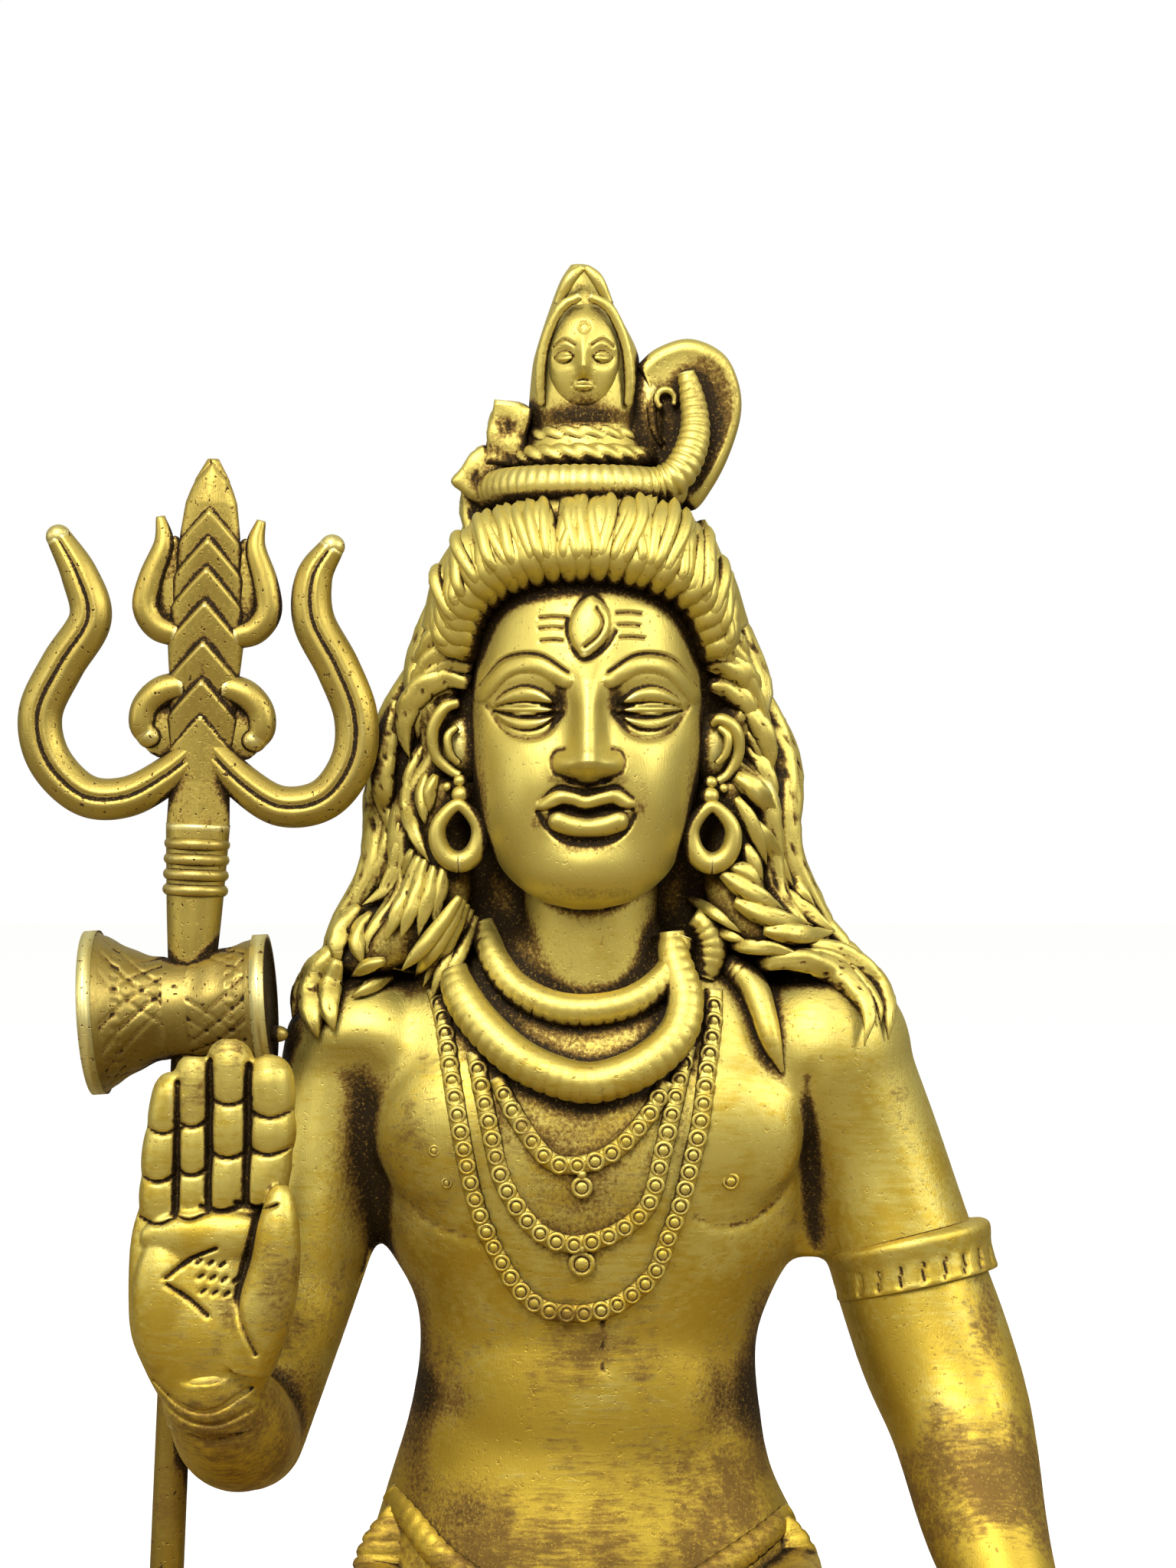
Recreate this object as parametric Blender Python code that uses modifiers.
"""A seated Shiva in cast brass, with a trident, an hourglass drum and a low moulded plinth.

Metres, +Z up. The front faces -Y, and +X is on the viewer's right. The origin is the middle of the
plinth's underside. The figure and the trident are free forms: their points are hundredths of the
figure's own height, measured from the middle of its seat.
"""
import math

import bmesh
import bpy
import numpy as np
from mathutils import Matrix, Vector
from mathutils.bvhtree import BVHTree

# Driving sizes, in metres
FIGURE_HEIGHT = 0.426
PLINTH_HEIGHT = 0.031
PLINTH_LEDGE = 0.0095
PLINTH_FOOT = 0.009
PLINTH_FILLET = 0.0022
SHAFT_RADIUS = 0.0048
SOCKET_DEPTH = 0.012
SOCKET_CLEARANCE = 0.0004
TOUCH_GAP = 0.0003
DRUM_LENGTH = 0.0505
DRUM_LEFT_RADIUS = 0.0228
DRUM_RIGHT_RADIUS = 0.0188
DRUM_WAIST_RADIUS = 0.0138
DRUM_RIM = 0.0022
DRUM_SHIFT = 0.0028
TRIDENT_LEAN = math.radians(2.4)
DRUM_TILT = math.radians(6)

# The figure's own measure and how finely its surface is worked
SHARE = FIGURE_HEIGHT / 100
FIGURE_TRIANGLES = 7000
TRIDENT_TRIANGLES = 1500
COARSE_CELL = 0.30
FINE_CELL = 0.26

# Where the pieces meet, in hundredths of the figure's height
ELBOW = (-22.2, 2.5, 23.1)
ELBOW_RADIUS = 3.7
KNEE = (28.0, -9.0, 6.4)
KNEE_RADIUS = 6.4
SHIN_FRONT = 21.5
SETBACK = 1.75
TRIDENT_DEPTH = 2.0
DRUM_CENTRE_HEIGHT = 51.2
CROWN_TOP = 100.3


def spline(points, steps):
    """A smooth curve through the points, with steps places to each stretch."""
    knots = np.array(points, dtype=float)
    padded = np.vstack([2 * knots[0] - knots[1], knots, 2 * knots[-1] - knots[-2]])
    curve = []
    for i in range(1, len(padded) - 2):
        a, b, c, d = padded[i - 1:i + 3]
        for t in np.arange(steps) / steps:
            curve.append(0.5 * (2 * b + (c - a) * t + (2 * a - 5 * b + 4 * c - d) * t ** 2
                                + (3 * b - a - 3 * c + d) * t ** 3))
    curve.append(knots[-1])
    return np.array(curve)


def loft(shapes, rings):
    """A closed skin over a row of rings that each have as many points."""
    rows = [[shapes.verts.new(point) for point in ring] for ring in rings]
    count = len(rows[0])
    for lower, upper in zip(rows, rows[1:]):
        for i in range(count):
            j = (i + 1) % count
            shapes.faces.new((lower[i], lower[j], upper[j], upper[i]))
    shapes.faces.new(rows[0][::-1])
    shapes.faces.new(rows[-1])


def stack(shapes, rows, steps=4, sides=32):
    """A body of oval slices: each row is its height, middle x, middle y, half width, half depth."""
    angles = np.arange(sides) * 2 * math.pi / sides
    rings = []
    for z, x, y, wide, deep in spline(rows, steps):
        rings.append([(x + wide * math.cos(a), y + deep * math.sin(a), z) for a in angles])
    loft(shapes, rings)


def tube(shapes, rows, flat=1.0, steps=4, sides=12, up=(0, 1, 0)):
    """A round or flattened limb: each row is a point x, y, z and the radius there."""
    curve = spline(rows, steps)
    path = [Vector(row[:3]) for row in curve]
    rings = []
    for i, (point, row) in enumerate(zip(path, curve)):
        along = (path[min(i + 1, len(path) - 1)] - path[max(i - 1, 0)]).normalized()
        side = along.cross(Vector(up)).normalized()
        over = side.cross(along)
        radius = max(row[3], 0.05)
        rings.append([point + side * radius * math.cos(a) + over * radius * flat * math.sin(a)
                      for a in np.arange(sides) * 2 * math.pi / sides])
    loft(shapes, rings)


def ball(shapes, centre, radii, turn=0.0):
    """An egg with its own three radii, turned about the depth axis."""
    place = Matrix.Translation(centre) @ Matrix.Rotation(turn, 4, "Y") @ Matrix.Diagonal((*radii, 1))
    bmesh.ops.create_icosphere(shapes, subdivisions=3, radius=1, matrix=place)


def slab(shapes, outline, depth, thickness):
    """A flat leaf with the outline in the x and z plane."""
    rings = []
    for share, inset in ((-1, 0.82), (-0.6, 1.0), (0.6, 1.0), (1, 0.82)):
        middle = np.mean(outline, axis=0)
        ring = middle + (np.array(outline) - middle) * inset
        rings.append([(x, depth + share * thickness / 2, z) for x, z in ring])
    loft(shapes, rings)


def settle(shapes, cell, smoothing):
    """The shapes fused into one skin, as one casting."""
    bmesh.ops.recalc_face_normals(shapes, faces=shapes.faces[:])
    mesh = bpy.data.meshes.new("fused")
    shapes.to_mesh(mesh)
    shapes.free()
    holder = bpy.data.objects.new("fused", mesh)
    bpy.context.scene.collection.objects.link(holder)
    fuse = holder.modifiers.new("Fuse", "REMESH")
    fuse.mode = "VOXEL"
    fuse.voxel_size = cell
    soften = holder.modifiers.new("Soften", "SMOOTH")
    soften.factor = 0.5
    soften.iterations = smoothing
    graph = bpy.context.evaluated_depsgraph_get()
    fused = bpy.data.meshes.new_from_object(holder.evaluated_get(graph))
    bpy.data.objects.remove(holder)
    bpy.data.meshes.remove(mesh)
    return fused


def front_of(mesh):
    """A function that gives the depth of the mesh's front surface at x and z."""
    shape = bmesh.new()
    shape.from_mesh(mesh)
    tree = BVHTree.FromBMesh(shape)
    shape.free()

    def front(x, z, otherwise=0.0):
        hit = tree.ray_cast(Vector((x, -60, z)), Vector((0, 1, 0)))[0]
        return hit.y if hit else otherwise
    return front


def draped(front, points, lift, radius):
    """Rows of a tube that lies on the front surface along points in x and z."""
    return [(x, front(x, z) - lift, z, radius) for x, z in spline(points, 4)]


# Body: torso, arms and crossed legs
def torso(shapes):
    stack(shapes, [(0.0, 0, 6, 16.5, 9.5), (7, 0, 6, 16.6, 10), (15, 0, 6, 14.6, 8.6),
                   (20, -0.4, 6, 12.7, 7.3), (24, -0.2, 6, 11.7, 6.7), (28.5, 0, 6, 11.2, 6.5),
                   (32, 0.3, 6, 12.0, 6.9), (36, 0.2, 6, 14.2, 7.6), (41, 0, 6, 15.4, 8.2),
                   (46, 0, 6, 16.6, 7.6), (50, 0, 6.2, 15.6, 6.3), (53, 0, 6.4, 11.6, 5.4),
                   (55.5, 0, 6.2, 6.5, 4.9), (57, 0, 6, 4.4, 4.2)])
    stack(shapes, [(50, 0.1, 5, 5.0, 4.8), (54, 0.2, 4.6, 4.5, 4.6), (61, 0.1, 4.4, 4.6, 5.0)])
    for side in (-1, 1):
        ball(shapes, (side * 6.9, 0.6, 43.0), (7.3, 3.7, 5.9))
        ball(shapes, (side * 5.0, 1.2, 31.5), (4.6, 2.6, 5.5))
    ball(shapes, (0, 1.4, 22.5), (7.5, 3.2, 7.0))


def right_arm(shapes):
    """The raised arm on the viewer's left, with its palm to the front."""
    tube(shapes, [(-14.6, 6.4, 48.0, 5.8), (-16.9, 5.6, 41.5, 4.6), (-18.8, 4.6, 35, 4.4),
                  (-20.9, 3.3, 28, 4.1), (*ELBOW, ELBOW_RADIUS)], sides=16)
    ball(shapes, (-14.5, 6.4, 47.6), (5.8, 5.8, 5.8))
    ball(shapes, ELBOW, (ELBOW_RADIUS,) * 3)
    tube(shapes, [(*ELBOW, 3.6), (-22.6, -2.6, 24.6, 3.9), (-23.4, -5.8, 27.6, 3.3),
                  (-23.8, -7.0, 30.2, 2.9)], sides=16, up=(1, 0, 0))
    stack(shapes, [(28.6, -23.7, -7.0, 2.9, 1.9), (31.5, -23.9, -7.4, 4.0, 2.0),
                   (35.5, -24.0, -7.4, 4.3, 1.7), (39.6, -23.3, -7.0, 4.3, 1.3)])
    tube(shapes, [(-21.2, -7.6, 30.8, 1.8), (-19.7, -8.8, 34.8, 1.7), (-19.1, -9.2, 38.4, 1.35),
                  (-19.1, -9.1, 40.8, 0.8)])
    for foot, tip, top, radius in ((-20.3, -19.9, 47.6, 1.12), (-22.5, -22.3, 48.9, 1.18),
                                   (-24.7, -24.5, 48.3, 1.1), (-26.7, -26.4, 46.8, 1.0)):
        tube(shapes, [(foot, -7.1, 38.0, radius), (foot, -7.3, 42.0, radius),
                      (tip, -7.1, top - 1.6, radius), (tip, -6.9, top, 0.55 * radius)])


def left_arm(shapes):
    """The arm that rests on the knee at the viewer's right."""
    tube(shapes, [(15.3, 6.2, 48.0, 6.0), (18.6, 6.0, 42, 4.8), (20.9, 5.4, 34.5, 5.0),
                  (22.9, 4.2, 28.5, 5.1), (24.4, 2.0, 24, 4.7), (25.5, -2.0, 18, 4.0),
                  (26.8, -6.5, 13.5, 3.1)], sides=16)
    ball(shapes, (15.4, 6.2, 47.8), (6.2, 6.0, 6.2))
    tube(shapes, [(27.0, -6.2, 13.8, 2.9), (28.2, -9.6, 12.6, 3.3), (28.6, -12.0, 10.8, 3.2)],
         flat=0.62, up=(0, 0, 1))
    for i in range(4):
        across = 26.3 + 1.75 * i
        tube(shapes, [(across, -10.6, 11.6, 1.0), (across + 0.2, -13.0, 9.6, 0.95),
                      (across + 0.2, -14.1, 6.6, 0.8)], up=(1, 0, 0))
    tube(shapes, [(26.2, -8.4, 12.4, 1.2), (23.8, -10.6, 11.0, 1.0), (23.4, -12.4, 9.4, 0.7)])
    tube(shapes, [(15.9, 5.2, 33.6, 0.9), (18.2, 0.6, 33.6, 1.1), (21.6, -0.3, 34.0, 1.2),
                  (25.0, 1.6, 35.4, 1.1), (26.2, 5.4, 35.6, 0.9)], flat=1.3, up=(0, 0, 1))


def legs(shapes):
    """Crossed legs: the left shin in front, the right foot on the left thigh."""
    across, deep, high = KNEE
    for side in (-1, 1):
        tube(shapes, [(side * 8, 6, 7.2, 7.2), (side * 18, -0.8, 7.0, 6.9),
                      (side * across, deep, high, KNEE_RADIUS)], sides=16)
        ball(shapes, (side * across, deep, high), (KNEE_RADIUS + 0.6, KNEE_RADIUS, KNEE_RADIUS))
    tube(shapes, [(27.4, -10, 5.2, 5.0), (14, -16.0, 5.0, 4.9), (1, -17.8, 4.2, 3.7),
                  (-9, -17.4, 3.4, 2.7)], sides=14)
    tube(shapes, [(-27.4, -9, 5.6, 5.2), (-14, -13.8, 7.0, 4.9), (-2, -13.6, 8.4, 3.8),
                  (6, -12.4, 9.8, 2.7)], sides=14)
    tube(shapes, [(-7, -16.9, 3.2, 2.6), (-12, -16.4, 2.8, 2.5), (-16.5, -16.8, 2.6, 1.6)], flat=0.8)
    tube(shapes, [(5, -12.6, 9.8, 2.6), (9.5, -11.8, 11.4, 2.9), (14.5, -10.4, 12.2, 2.5)], flat=0.7)
    for i in range(5):
        tube(shapes, [(13.6, -11.4 + 1.05 * i, 12.4, 0.8), (16.6 - 0.35 * i, -10.9 + 1.0 * i, 12.6, 0.62)])
    stack(shapes, [(0.0, 0, -2, 20, 13.5), (2.2, 0, -2, 21, 14.0), (4.0, 0, -2, 19, 12)])


def wrap(shapes, front):
    """The skin wrap: a thick rolled hem across the hips and folds that fall over the thighs."""
    hem = [(-13.0, 18.6), (-11.6, 17.8), (-8.8, 15.2), (-4, 12.9), (0, 12.4), (4, 12.9),
           (8.8, 15.2), (11.8, 16.8), (13.0, 17.2)]
    tube(shapes, draped(front, hem, 0.1, 0.95), steps=1)
    for side in (-1, 1):
        fold = [(side * 17.6, 15.0), (side * 20.0, 11.0), (side * 20.8, 6.0), (side * 20.4, 2.4)]
        tube(shapes, draped(front, fold, 0.0, 0.75), steps=1)
    for i in range(4):
        x = -5.5 + 3.6 * i
        tube(shapes, draped(front, [(x, 11.6), (0.8 * x, 9.4)], 0.0, 0.7), steps=1)


# Head: face, ears and rings
def head(shapes):
    stack(shapes, [(57.9, 0, 0.6, 1.6, 2.2), (58.6, 0, 1.4, 3.6, 4.2), (60.6, 0, 2.6, 5.5, 6.0),
                   (63.6, -0.1, 3.4, 6.9, 7.0), (67.5, -0.1, 4.2, 7.6, 7.9), (71, -0.1, 4.8, 7.7, 8.3),
                   (75, 0, 5.2, 7.4, 8.2), (79, 0, 5.4, 6.4, 7.4), (82, 0, 5.4, 4.8, 5.6)])
    ball(shapes, (0, -1.2, 60.4), (2.4, 1.9, 1.9))
    tube(shapes, [(0, -2.9, 72.4, 0.9), (0, -3.9, 70.0, 0.9), (0, -5.3, 67.2, 1.15)])
    ball(shapes, (0, -5.0, 66.8), (1.2, 1.2, 1.0))
    for side in (-1, 1):
        ball(shapes, (side * 1.5, -3.9, 66.6), (0.95, 1.2, 0.8))
        ball(shapes, (side * 3.9, -2.2, 70.3), (2.2, 1.3, 1.35))
        ball(shapes, (side * 4.4, -1.6, 65.4), (2.6, 2.0, 2.8))
        tube(shapes, [(side * 1.2, -3.6, 72.5, 0.4), (side * 3.8, -3.2, 73.9, 0.5),
                      (side * 6.7, -0.6, 71.8, 0.35)])
        tube(shapes, [(side * 8.3, 4.0, 70.6, 0.5), (side * 9.3, 3.6, 69.2, 0.7),
                      (side * 9.0, 3.2, 67.0, 0.6), (side * 8.4, 3.0, 65.4, 0.8)])
        ring = [(side * (8.4 + 1.35 * math.sin(a)), 1.6, 62.7 - 1.9 * math.cos(a), 0.5)
                for a in np.linspace(0, 2 * math.pi, 13)]
        tube(shapes, ring, steps=1)
    tube(shapes, [(-2.9, -2.4, 64.4, 0.3), (-1.1, -3.9, 64.9, 0.6), (0, -4.1, 64.7, 0.6),
                  (1.1, -3.9, 64.9, 0.6), (2.9, -2.4, 64.4, 0.3)], up=(0, 0, 1))
    tube(shapes, [(-2.4, -2.7, 63.8, 0.3), (0, -3.9, 63.2, 0.8), (2.4, -2.7, 63.8, 0.3)], up=(0, 0, 1))
    ball(shapes, (0.2, -3.0, 75.8), (1.3, 0.9, 2.1))


# Hair: a swept roll over the brow and long locks over the shoulders and the back
HAIR_OUTER = [(7.4, 5.6, 82.6), (9.2, 5.8, 77.6), (10.4, 6.6, 73.0), (12.3, 7.4, 69.8),
              (13.0, 7.8, 66.0), (13.1, 8.0, 62.6), (14.2, 8.0, 58.8), (16.2, 7.4, 55.6),
              (17.6, 5.4, 52.6), (17.9, 4.2, 50.0)]
HAIR_INNER = [(5.0, -1.0, 81.8), (7.4, 1.2, 77.0), (8.4, 2.2, 72.6), (9.0, 3.4, 69.0),
              (8.8, 4.0, 65.2), (7.8, 3.8, 61.4), (7.0, 3.0, 58.0), (8.0, 2.0, 55.4),
              (10.2, 0.4, 52.8), (11.6, -0.8, 50.0)]
HAIR_RIGHT_SHARE = 0.95
SIDE_LOCKS = 7
BACK_LOCKS = 9
BROW_LOCKS = 15


def hair(shapes):
    stack(shapes, [(84.0, -0.2, 5.2, 6.6, 6.8), (82.2, -0.1, 5.4, 7.4, 7.8), (77.6, -0.1, 6.4, 8.7, 8.6),
                   (73, -0.1, 7.4, 9.6, 8.6), (69.8, -0.6, 8.4, 11.2, 8.0), (66, -0.8, 9.0, 11.9, 7.0),
                   (62.6, -0.8, 9.4, 12.0, 6.4), (58.8, -0.6, 9.8, 13.0, 5.8),
                   (55, 0, 10.2, 15.4, 5.0), (51.6, 0, 10.8, 16.2, 3.8), (47, 0, 11.8, 14.0, 3.2),
                   (42, 0, 12.2, 10.4, 2.6), (38.0, 0, 12.4, 5.6, 1.6)])
    for side in (-1, 1):
        reach = HAIR_RIGHT_SHARE if side > 0 else 1.0
        outer = spline([(side * x * reach, y, z) for x, y, z in HAIR_OUTER], 2)
        inner = spline([(side * x, y, z) for x, y, z in HAIR_INNER], 2)
        for i in range(SIDE_LOCKS):
            share = i / (SIDE_LOCKS - 1)
            last = len(outer) - 2 * (i % 3)
            rows = []
            for k in range(0, last):
                place = inner[k] + (outer[k] - inner[k]) * share
                sway = 0.35 * math.sin(1.1 * k + 2.0 * i)
                bulge = -0.9 * math.sin(math.pi * share)
                size = 1.35 * (1 - 0.75 * (k / (last - 1)) ** 3)
                rows.append((place[0] + sway, place[1] + bulge, place[2], size))
            tube(shapes, rows, steps=1, sides=8)
    for i in range(BROW_LOCKS):
        angle = math.pi * (i / (BROW_LOCKS - 1) - 0.5)
        reach = math.sin(angle)
        tube(shapes, [(7.0 * reach, 6.0 - 9.6 * math.cos(angle) ** 0.7, 77.7 - 1.2 * abs(reach), 0.55),
                      (7.9 * reach, 5.6 - 9.4 * math.cos(angle) ** 0.7, 80.2, 0.95),
                      (7.1 * reach, 5.4 - 7.6 * math.cos(angle) ** 0.7, 83.2, 0.6)], sides=8)
    for i in range(BACK_LOCKS):
        across = (i / (BACK_LOCKS - 1) - 0.5) * 2
        foot = 39.0 + 7.0 * abs(across) + 2.0 * (i % 2)
        tube(shapes, [(6.0 * across, 12.6 - 3.5 * across ** 2, 83.0, 0.9),
                      (8.6 * across, 16.0 - 5.5 * across ** 2, 74, 1.5),
                      (10.6 * across, 16.6 - 5.0 * across ** 2, 64, 1.6),
                      (13.2 * across, 15.8 - 3.0 * across ** 2, 55, 1.7),
                      (13.0 * across, 15.0 - 1.6 * across ** 2, 47, 1.4),
                      (11.0 * across, 14.4 - 1.2 * across ** 2, foot, 0.4)], sides=8)
    for side in (-1, 1):
        for start, tip in (((15.4, 3.0, 55.4), (19.2, 1.0, 48.8)), ((13.6, 1.6, 54.6), (17.4, 0.4, 48.0)),
                           ((11.4, 1.2, 54.4), (12.6, -1.6, 47.2))):
            middle = [(a + b) / 2 + lift for a, b, lift in zip(start, tip, (0.5, -1.0, 0.9))]
            tube(shapes, [(side * start[0], start[1], start[2], 1.2),
                          (side * middle[0], middle[1], middle[2], 1.2),
                          (side * tip[0], tip[1], tip[2], 0.35)], sides=8)


# Crown: snake band, rope coils, small head, cobra
HOOD = [(3.3, 93.2), (4.6, 94.3), (6.7, 94.9), (8.8, 94.0), (9.8, 92.2), (10.0, 90.1), (9.3, 87.6),
        (8.2, 85.4), (6.9, 83.9), (5.4, 84.8), (4.5, 86.6), (4.2, 88.6), (4.0, 91.0)]


def oval_ring(shapes, centre, wide, deep, radius, start=0.0, turn=2 * math.pi, sides=8):
    rows = [(centre[0] + wide * math.cos(a), centre[1] + deep * math.sin(a), centre[2], radius)
            for a in np.linspace(start, start + turn, 33)]
    tube(shapes, rows, steps=1, sides=sides, up=(0, 0, 1))


def crown(shapes):
    stack(shapes, [(82, -0.4, 5, 6.2, 6.0), (86, -0.4, 4.8, 5.2, 5.0), (88.6, -0.3, 4.6, 3.9, 3.9),
                   (90, -0.2, 4.4, 3.4, 3.4)])
    oval_ring(shapes, (-0.4, 4.9, 84.9), 6.1, 6.3, 1.3)
    oval_ring(shapes, (-0.4, 4.8, 86.9), 4.6, 4.6, 0.8)
    oval_ring(shapes, (-0.3, 4.7, 88.4), 3.5, 3.6, 0.8)
    stack(shapes, [(88.6, -0.3, 4.3, 3.6, 3.3), (91.5, -0.3, 4.1, 3.7, 3.4), (94.2, -0.1, 4.1, 3.4, 3.0),
                   (96.6, -0.3, 4.2, 2.5, 2.2), (98.9, -0.5, 4.3, 1.5, 1.3), (CROWN_TOP, -0.6, 4.3, 0.6, 0.6)])
    ball(shapes, (-0.2, 1.7, 93.2), (2.3, 1.5, 3.0))
    slab(shapes, HOOD, 3.6, 1.8)
    tube(shapes, [(5.0, 0.6, 84.9, 1.2), (6.6, 1.6, 86.0, 1.2), (6.9, 2.4, 88.6, 1.1),
                  (6.9, 2.4, 91.4, 1.1), (5.6, 2.2, 92.6, 0.9)], sides=8)
    slab(shapes, [(-6.8, 86.6), (-4.0, 86.6), (-4.2, 89.2), (-6.5, 90.5)], 3.6, 2.6)
    ball(shapes, (-7.7, 3.4, 85.5), (1.5, 1.5, 1.9))


# Snake round the neck, bead strands and rings on the breast
SNAKE_INNER = [(-5.6, 56.8), (-6.2, 54.8), (-5.0, 52.5), (-2.3, 51.2), (0.3, 51.1), (3.0, 51.7), (5.2, 53.4),
               (6.0, 55.8)]
SNAKE_OUTER = [(-8.6, 54.6), (-8.2, 52.4), (-6.8, 50.0), (-4.5, 48.0), (-1.8, 46.8), (0.6, 46.5),
               (3.5, 47.5), (5.6, 49.5), (6.3, 51.8), (5.8, 54.8)]
SNAKE_TAIL = [(6.0, 55.6), (7.6, 56.2), (9.4, 53.6), (11.0, 52.0), (11.8, 49.8), (12.5, 47.2)]
STRANDS = [
    [(-9.4, 50.3), (-8.2, 43.4), (-6.9, 37.8), (-4.5, 33.2), (-1.1, 31.6), (2.1, 32.3), (5.1, 36.4),
     (6.7, 41.7), (8.0, 48.5), (8.2, 52.3)],
    [(-7.3, 48.2), (-6.3, 43.4), (-4.8, 38.7), (-2.0, 36.4), (0.8, 36.6), (3.9, 38.8), (5.3, 44.0),
     (6.4, 48.6)],
    [(-5.9, 46.8), (-4.7, 44.5), (-2.7, 41.8), (-0.4, 41.2), (1.7, 42.2), (3.9, 44.5), (5.0, 46.6)],
]


def ornaments(shapes, front):
    tube(shapes, draped(front, SNAKE_INNER, 0.35, 1.05), steps=1, sides=10)
    tube(shapes, draped(front, SNAKE_OUTER, 0.75, 1.3), steps=1, sides=10)
    tube(shapes, draped(front, SNAKE_TAIL, 0.35, 0.85), steps=1, sides=10)
    for points in STRANDS:
        tube(shapes, draped(front, points, 0.05, 0.62), flat=0.8, steps=1, sides=8)
    for x, z, radius in ((-0.4, 34.8, 0.95), (-0.4, 40.0, 0.75)):
        ball(shapes, (x, front(x, z) - 0.1, z), (radius, 0.6, radius))


# Grooves that are cut after the casting is fused
CREASES = [
    ([(-12.8, 39.6), (-10.4, 37.2), (-7.6, 36.4), (-4.0, 37.4)], 0.55, 0.45),
    ([(12.9, 39.6), (11.5, 37.8), (9.2, 36.9), (6.8, 37.5), (4.0, 38.0)], 0.55, 0.45),
    ([(14.0, 47.5), (13.6, 42.0), (14.4, 36.0)], 0.7, 0.6),
    ([(-13.4, 46.5), (-13.4, 41.0), (-13.8, 36.4)], 0.7, 0.6),
    ([(0.8, 31.0), (1.0, 28.2)], 0.4, 0.3),
    ([(-5.9, 70.0), (-4.0, 69.3), (-2.0, 70.0)], 0.35, 0.35),
    ([(5.9, 70.0), (4.0, 69.3), (2.0, 70.0)], 0.35, 0.35),
    ([(-2.4, 64.05), (0, 63.95), (2.4, 64.05)], 0.3, 0.45),
    ([(0.2, 77.4), (0.2, 74.2)], 0.3, 0.3),
]
FINGER_GAPS = [(-21.3, 39.4, 47.2), (-23.5, 39.2, 47.8), (-25.6, 39.0, 46.4)]


def carve(mesh, creases):
    """Cut each crease into the front of the mesh, along its points in x and z."""
    count = len(mesh.vertices)
    place = np.empty(count * 3)
    normal = np.empty(count * 3)
    mesh.vertices.foreach_get("co", place)
    mesh.vertices.foreach_get("normal", normal)
    place = place.reshape(-1, 3)
    normal = normal.reshape(-1, 3)
    cut = np.zeros(count)
    for points, width, depth in creases:
        line = spline(points, 6)
        for start, end in zip(line[:-1], line[1:]):
            step = end - start
            flat = place[:, [0, 2]] - start
            along = np.clip(flat @ step / (step @ step), 0, 1)
            away = np.linalg.norm(flat - along[:, None] * step, axis=1)
            shape = depth * np.exp(-(away / width) ** 2)
            cut = np.maximum(cut, np.where(normal[:, 1] < -0.1, shape, 0))
    place[:, 1] += cut
    mesh.vertices.foreach_set("co", place.ravel())
    mesh.update()


def thinned(name, mesh, cell, triangles, place):
    """An object of the mesh in real metres, thinned to a number of triangles."""
    mesh.transform(place)
    piece = bpy.data.objects.new(name, mesh)
    thin = piece.modifiers.new("Thin", "DECIMATE")
    thin.ratio = triangles / (2 * len(mesh.polygons))
    return piece


def above_plinth():
    """From hundredths of the figure's height to metres on top of the plinth."""
    seat = Matrix.Translation((0, SETBACK * SHARE, PLINTH_HEIGHT + TOUCH_GAP))
    return seat @ Matrix.Scale(SHARE, 4)


def make_figure():
    body = bmesh.new()
    torso(body)
    right_arm(body)
    left_arm(body)
    legs(body)
    head(body)
    body_mesh = settle(body, COARSE_CELL, 6)
    front = front_of(body_mesh)
    whole = bmesh.new()
    whole.from_mesh(body_mesh)
    hair(whole)
    crown(whole)
    ornaments(whole, front)
    wrap(whole, front)
    figure_mesh = settle(whole, FINE_CELL, 2)
    gaps = [([(x, low), (x, high)], 0.28, 0.7) for x, low, high in FINGER_GAPS]
    carve(figure_mesh, CREASES + gaps)
    return thinned("figure", flat_seat(figure_mesh), FINE_CELL, FIGURE_TRIANGLES, above_plinth())


def flat_seat(mesh):
    """The mesh cut level at its seat, so that it rests flat on the plinth."""
    shape = bmesh.new()
    shape.from_mesh(mesh)
    everything = shape.verts[:] + shape.edges[:] + shape.faces[:]
    bmesh.ops.bisect_plane(shape, geom=everything, plane_co=(0, 0, 0), plane_no=(0, 0, -1),
                           clear_outer=True)
    rim = [edge for edge in shape.edges if edge.is_boundary]
    bmesh.ops.contextual_create(shape, geom=rim)
    bmesh.ops.triangulate(shape, faces=[face for face in shape.faces if len(face.verts) > 4])
    shape.to_mesh(mesh)
    shape.free()
    return mesh


# Trident
TRIDENT_TOP = 87.1
LEFT_PRONG = [(-9.9, 81.6), (-8.4, 79.1), (-7.6, 76.3), (-9.3, 73.2), (-10.6, 70.0), (-9.9, 67.0),
              (-7.5, 64.8), (-4.7, 64.8), (-2.0, 66.4), (0.2, 68.4)]
RIGHT_PRONG = [(8.0, 81.7), (6.9, 79.6), (7.0, 76.8), (8.7, 73.8), (10.0, 70.7), (9.9, 67.7),
               (8.2, 65.2), (5.4, 64.6), (2.8, 66.0), (0.2, 68.4)]
PRONG_RADII = (0.8, 1.15, 1.35, 1.4, 1.4, 1.4, 1.35, 1.3, 1.2, 1.1)
SMALL_PRONG = [(3.3, 83.2, 0.4), (3.0, 81.4, 0.7), (3.7, 79.2, 0.85), (4.0, 77.3, 0.9),
               (3.2, 76.0, 0.9), (1.8, 75.5, 0.8)]
LOWER_CURL = [(1.2, 72.0, 0.8), (2.9, 71.4, 0.85), (4.1, 70.0, 0.85), (4.1, 68.7, 0.75),
              (3.3, 68.1, 0.5)]
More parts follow.
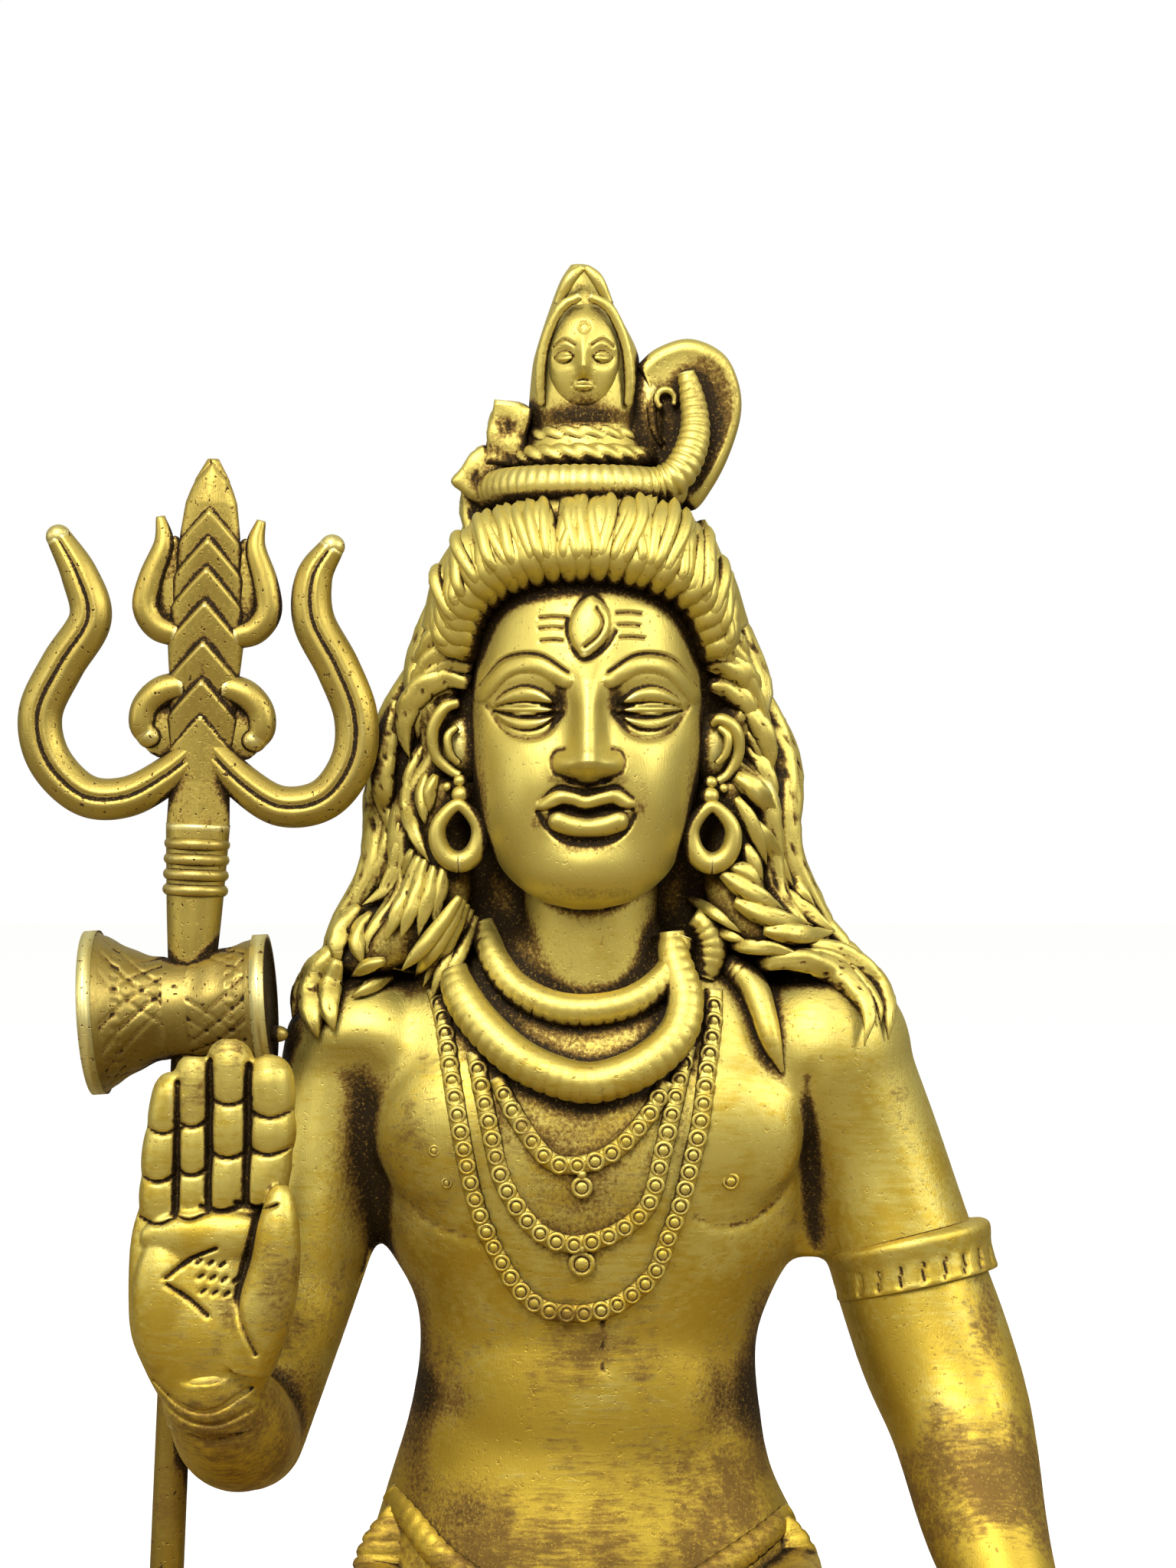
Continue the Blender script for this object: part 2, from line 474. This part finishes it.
BLADE = [(63.2, 2.1), (68.5, 2.0), (70.4, 2.4), (70.8, 1.9), (72.9, 2.5), (73.3, 1.9), (75.4, 2.5),
         (75.8, 1.9), (78.0, 2.5), (78.4, 1.8), (80.2, 2.3), (80.6, 1.7), (82.0, 2.0), (82.4, 1.5),
         (84.0, 1.7), (85.6, 1.1), (TRIDENT_TOP, 0.25)]
RING_HEIGHTS = (58.9, 59.9, 60.9, 61.9)


def trident_place():
    """The shaft's foot on top of the plinth, and the shaft's lean, clear of the elbow."""
    reach = -ELBOW[0] * SHARE + ELBOW_RADIUS * SHARE + SHAFT_RADIUS + 2 * TOUCH_GAP
    foot = -reach - ELBOW[2] * SHARE * math.tan(TRIDENT_LEAN)
    place = Matrix.Translation((foot, (TRIDENT_DEPTH + SETBACK) * SHARE, PLINTH_HEIGHT))
    return place @ Matrix.Rotation(TRIDENT_LEAN, 4, "Y")


def make_trident():
    shapes = bmesh.new()
    shaft = SHAFT_RADIUS / SHARE
    foot = (SOCKET_CLEARANCE - SOCKET_DEPTH) / SHARE
    waist = DRUM_WAIST_RADIUS / SHARE
    stack(shapes, [(foot, 0, 0, shaft, shaft), (DRUM_CENTRE_HEIGHT - waist, 0, 0, shaft, shaft),
                   (DRUM_CENTRE_HEIGHT + waist, 0, 0, 1.6, 1.6), (63.2, 0, 0, 2.1, 1.6)], steps=1, sides=16)
    stack(shapes, [(z, 0, 0, wide, 0.62 * wide) for z, wide in BLADE], steps=1, sides=8)
    for z in RING_HEIGHTS:
        stack(shapes, [(z - 0.3, 0, 0, 1.9, 1.7), (z, 0, 0, 2.2, 1.95), (z + 0.3, 0, 0, 1.9, 1.7)],
              steps=1, sides=16)
    for prong in (LEFT_PRONG, RIGHT_PRONG):
        rows = [(x, 0, z, radius) for (x, z), radius in zip(prong, PRONG_RADII)]
        tube(shapes, rows, sides=12, flat=0.85)
    for side in (-1, 1):
        for branch in (SMALL_PRONG, LOWER_CURL):
            tube(shapes, [(side * x, 0, z, radius) for x, z, radius in branch], sides=8)
    mesh = settle(shapes, FINE_CELL, 1)
    place = trident_place() @ Matrix.Scale(SHARE, 4)
    return thinned("trident", mesh, FINE_CELL, TRIDENT_TRIANGLES, place)


def turned(name, profile, sides, place):
    """A turned solid about its own axis: each row is a height and a radius."""
    shape = bmesh.new()
    rings = [[(radius * math.cos(a), radius * math.sin(a), z)
              for a in np.arange(sides) * 2 * math.pi / sides] for z, radius in profile]
    loft(shape, rings)
    bmesh.ops.recalc_face_normals(shape, faces=shape.faces[:])
    mesh = bpy.data.meshes.new(name)
    shape.to_mesh(mesh)
    shape.free()
    mesh.transform(place)
    return bpy.data.objects.new(name, mesh)


def bored(piece, cutter, cutters):
    """The piece with the cutter's shape taken out of it."""
    cutters.objects.link(cutter)
    cutter.hide_render = True
    cutter.display_type = "WIRE"
    cut = piece.modifiers.new("Bore", "BOOLEAN")
    cut.operation = "DIFFERENCE"
    cut.object = cutter


def make_drum():
    """The hourglass drum on the shaft, with raised rims; its axis lies across the shaft."""
    half = DRUM_LENGTH / 2
    profile = [(-half, DRUM_LEFT_RADIUS - DRUM_RIM), (-half, DRUM_LEFT_RADIUS),
               (-half + 2 * DRUM_RIM, DRUM_LEFT_RADIUS - 0.3 * DRUM_RIM),
               (-0.35 * half, DRUM_WAIST_RADIUS * 1.12), (0, DRUM_WAIST_RADIUS),
               (0.35 * half, DRUM_WAIST_RADIUS * 1.08),
               (half - 2 * DRUM_RIM, DRUM_RIGHT_RADIUS - 0.3 * DRUM_RIM), (half, DRUM_RIGHT_RADIUS),
               (half, DRUM_RIGHT_RADIUS - DRUM_RIM)]
    across = Matrix.Rotation(math.radians(90) - DRUM_TILT, 4, "Y")
    middle = Matrix.Translation((-DRUM_SHIFT, 0, DRUM_CENTRE_HEIGHT * SHARE))
    return turned("damaru", profile, 28, trident_place() @ middle @ across)


def drum_bore():
    """The hole in the drum for the shaft, with the touch gap all round."""
    top = 1.7 * SHARE + TOUCH_GAP
    reach = 2 * DRUM_LEFT_RADIUS
    place = trident_place() @ Matrix.Translation((0, 0, DRUM_CENTRE_HEIGHT * SHARE))
    return turned("drum_bore", [(-reach, top), (reach, top)], 20, place)


def plinth_rings(heights, sides=56):
    """Level oval rings of the plinth, each grown or shrunk from the ledge round the knees."""
    wide = (KNEE[0] + KNEE_RADIUS + 0.6) * SHARE + PLINTH_LEDGE
    deep = (SHIN_FRONT - SETBACK) * SHARE + PLINTH_LEDGE
    rings = []
    for z, grow in heights:
        ring = []
        for a in np.arange(sides) * 2 * math.pi / sides:
            cos, sin = math.cos(a), math.sin(a)
            x = math.copysign(abs(cos) ** 0.8, cos) * (wide + grow)
            y = math.copysign(abs(sin) ** 0.8, sin) * (deep + grow)
            ring.append((x, y, z))
        rings.append(ring)
    return rings


def make_plinth():
    height, foot, soft = PLINTH_HEIGHT, PLINTH_FOOT, PLINTH_FILLET
    shape = bmesh.new()
    loft(shape, plinth_rings([(0, 0), (foot - soft, 0), (foot, -soft), (foot + soft, -2 * soft),
                              (0.5 * height, -3 * soft), (height - foot + soft, -2 * soft),
                              (height - foot + 2 * soft, -soft), (height - soft, -0.4 * soft),
                              (height, -soft)]))
    bmesh.ops.recalc_face_normals(shape, faces=shape.faces[:])
    mesh = bpy.data.meshes.new("plinth")
    shape.to_mesh(mesh)
    shape.free()
    return bpy.data.objects.new("plinth", mesh)


def socket_bore():
    """The blind hole in the plinth for the trident's foot."""
    radius = SHAFT_RADIUS + SOCKET_CLEARANCE
    return turned("socket_bore", [(-SOCKET_DEPTH, radius), (PLINTH_HEIGHT, radius)], 20, trident_place())


def brass(piece, name, colour, roughness):
    """Give the piece its own brass."""
    material = bpy.data.materials.new(name)
    material.use_nodes = True
    shader = material.node_tree.nodes["Principled BSDF"]
    shader.inputs["Base Color"].default_value = (*colour, 1)
    shader.inputs["Metallic"].default_value = 1.0
    shader.inputs["Roughness"].default_value = roughness
    piece.data.materials.append(material)


def main():
    for old in list(bpy.data.objects):
        bpy.data.objects.remove(old)
    statue = bpy.data.collections.new("shiva_statue")
    cutters = bpy.data.collections.new("cutters")
    bpy.context.scene.collection.children.link(statue)
    bpy.context.scene.collection.children.link(cutters)
    figure = make_figure()
    trident = make_trident()
    drum = make_drum()
    plinth = make_plinth()
    for piece in (figure, trident, drum, plinth):
        statue.objects.link(piece)
    bored(drum, drum_bore(), cutters)
    bored(plinth, socket_bore(), cutters)
    brass(figure, "satin brass", (0.60, 0.46, 0.14), 0.36)
    brass(trident, "dark brass", (0.48, 0.35, 0.11), 0.42)
    brass(drum, "rough brass", (0.42, 0.34, 0.15), 0.50)
    brass(plinth, "plain brass", (0.55, 0.42, 0.14), 0.40)


main()
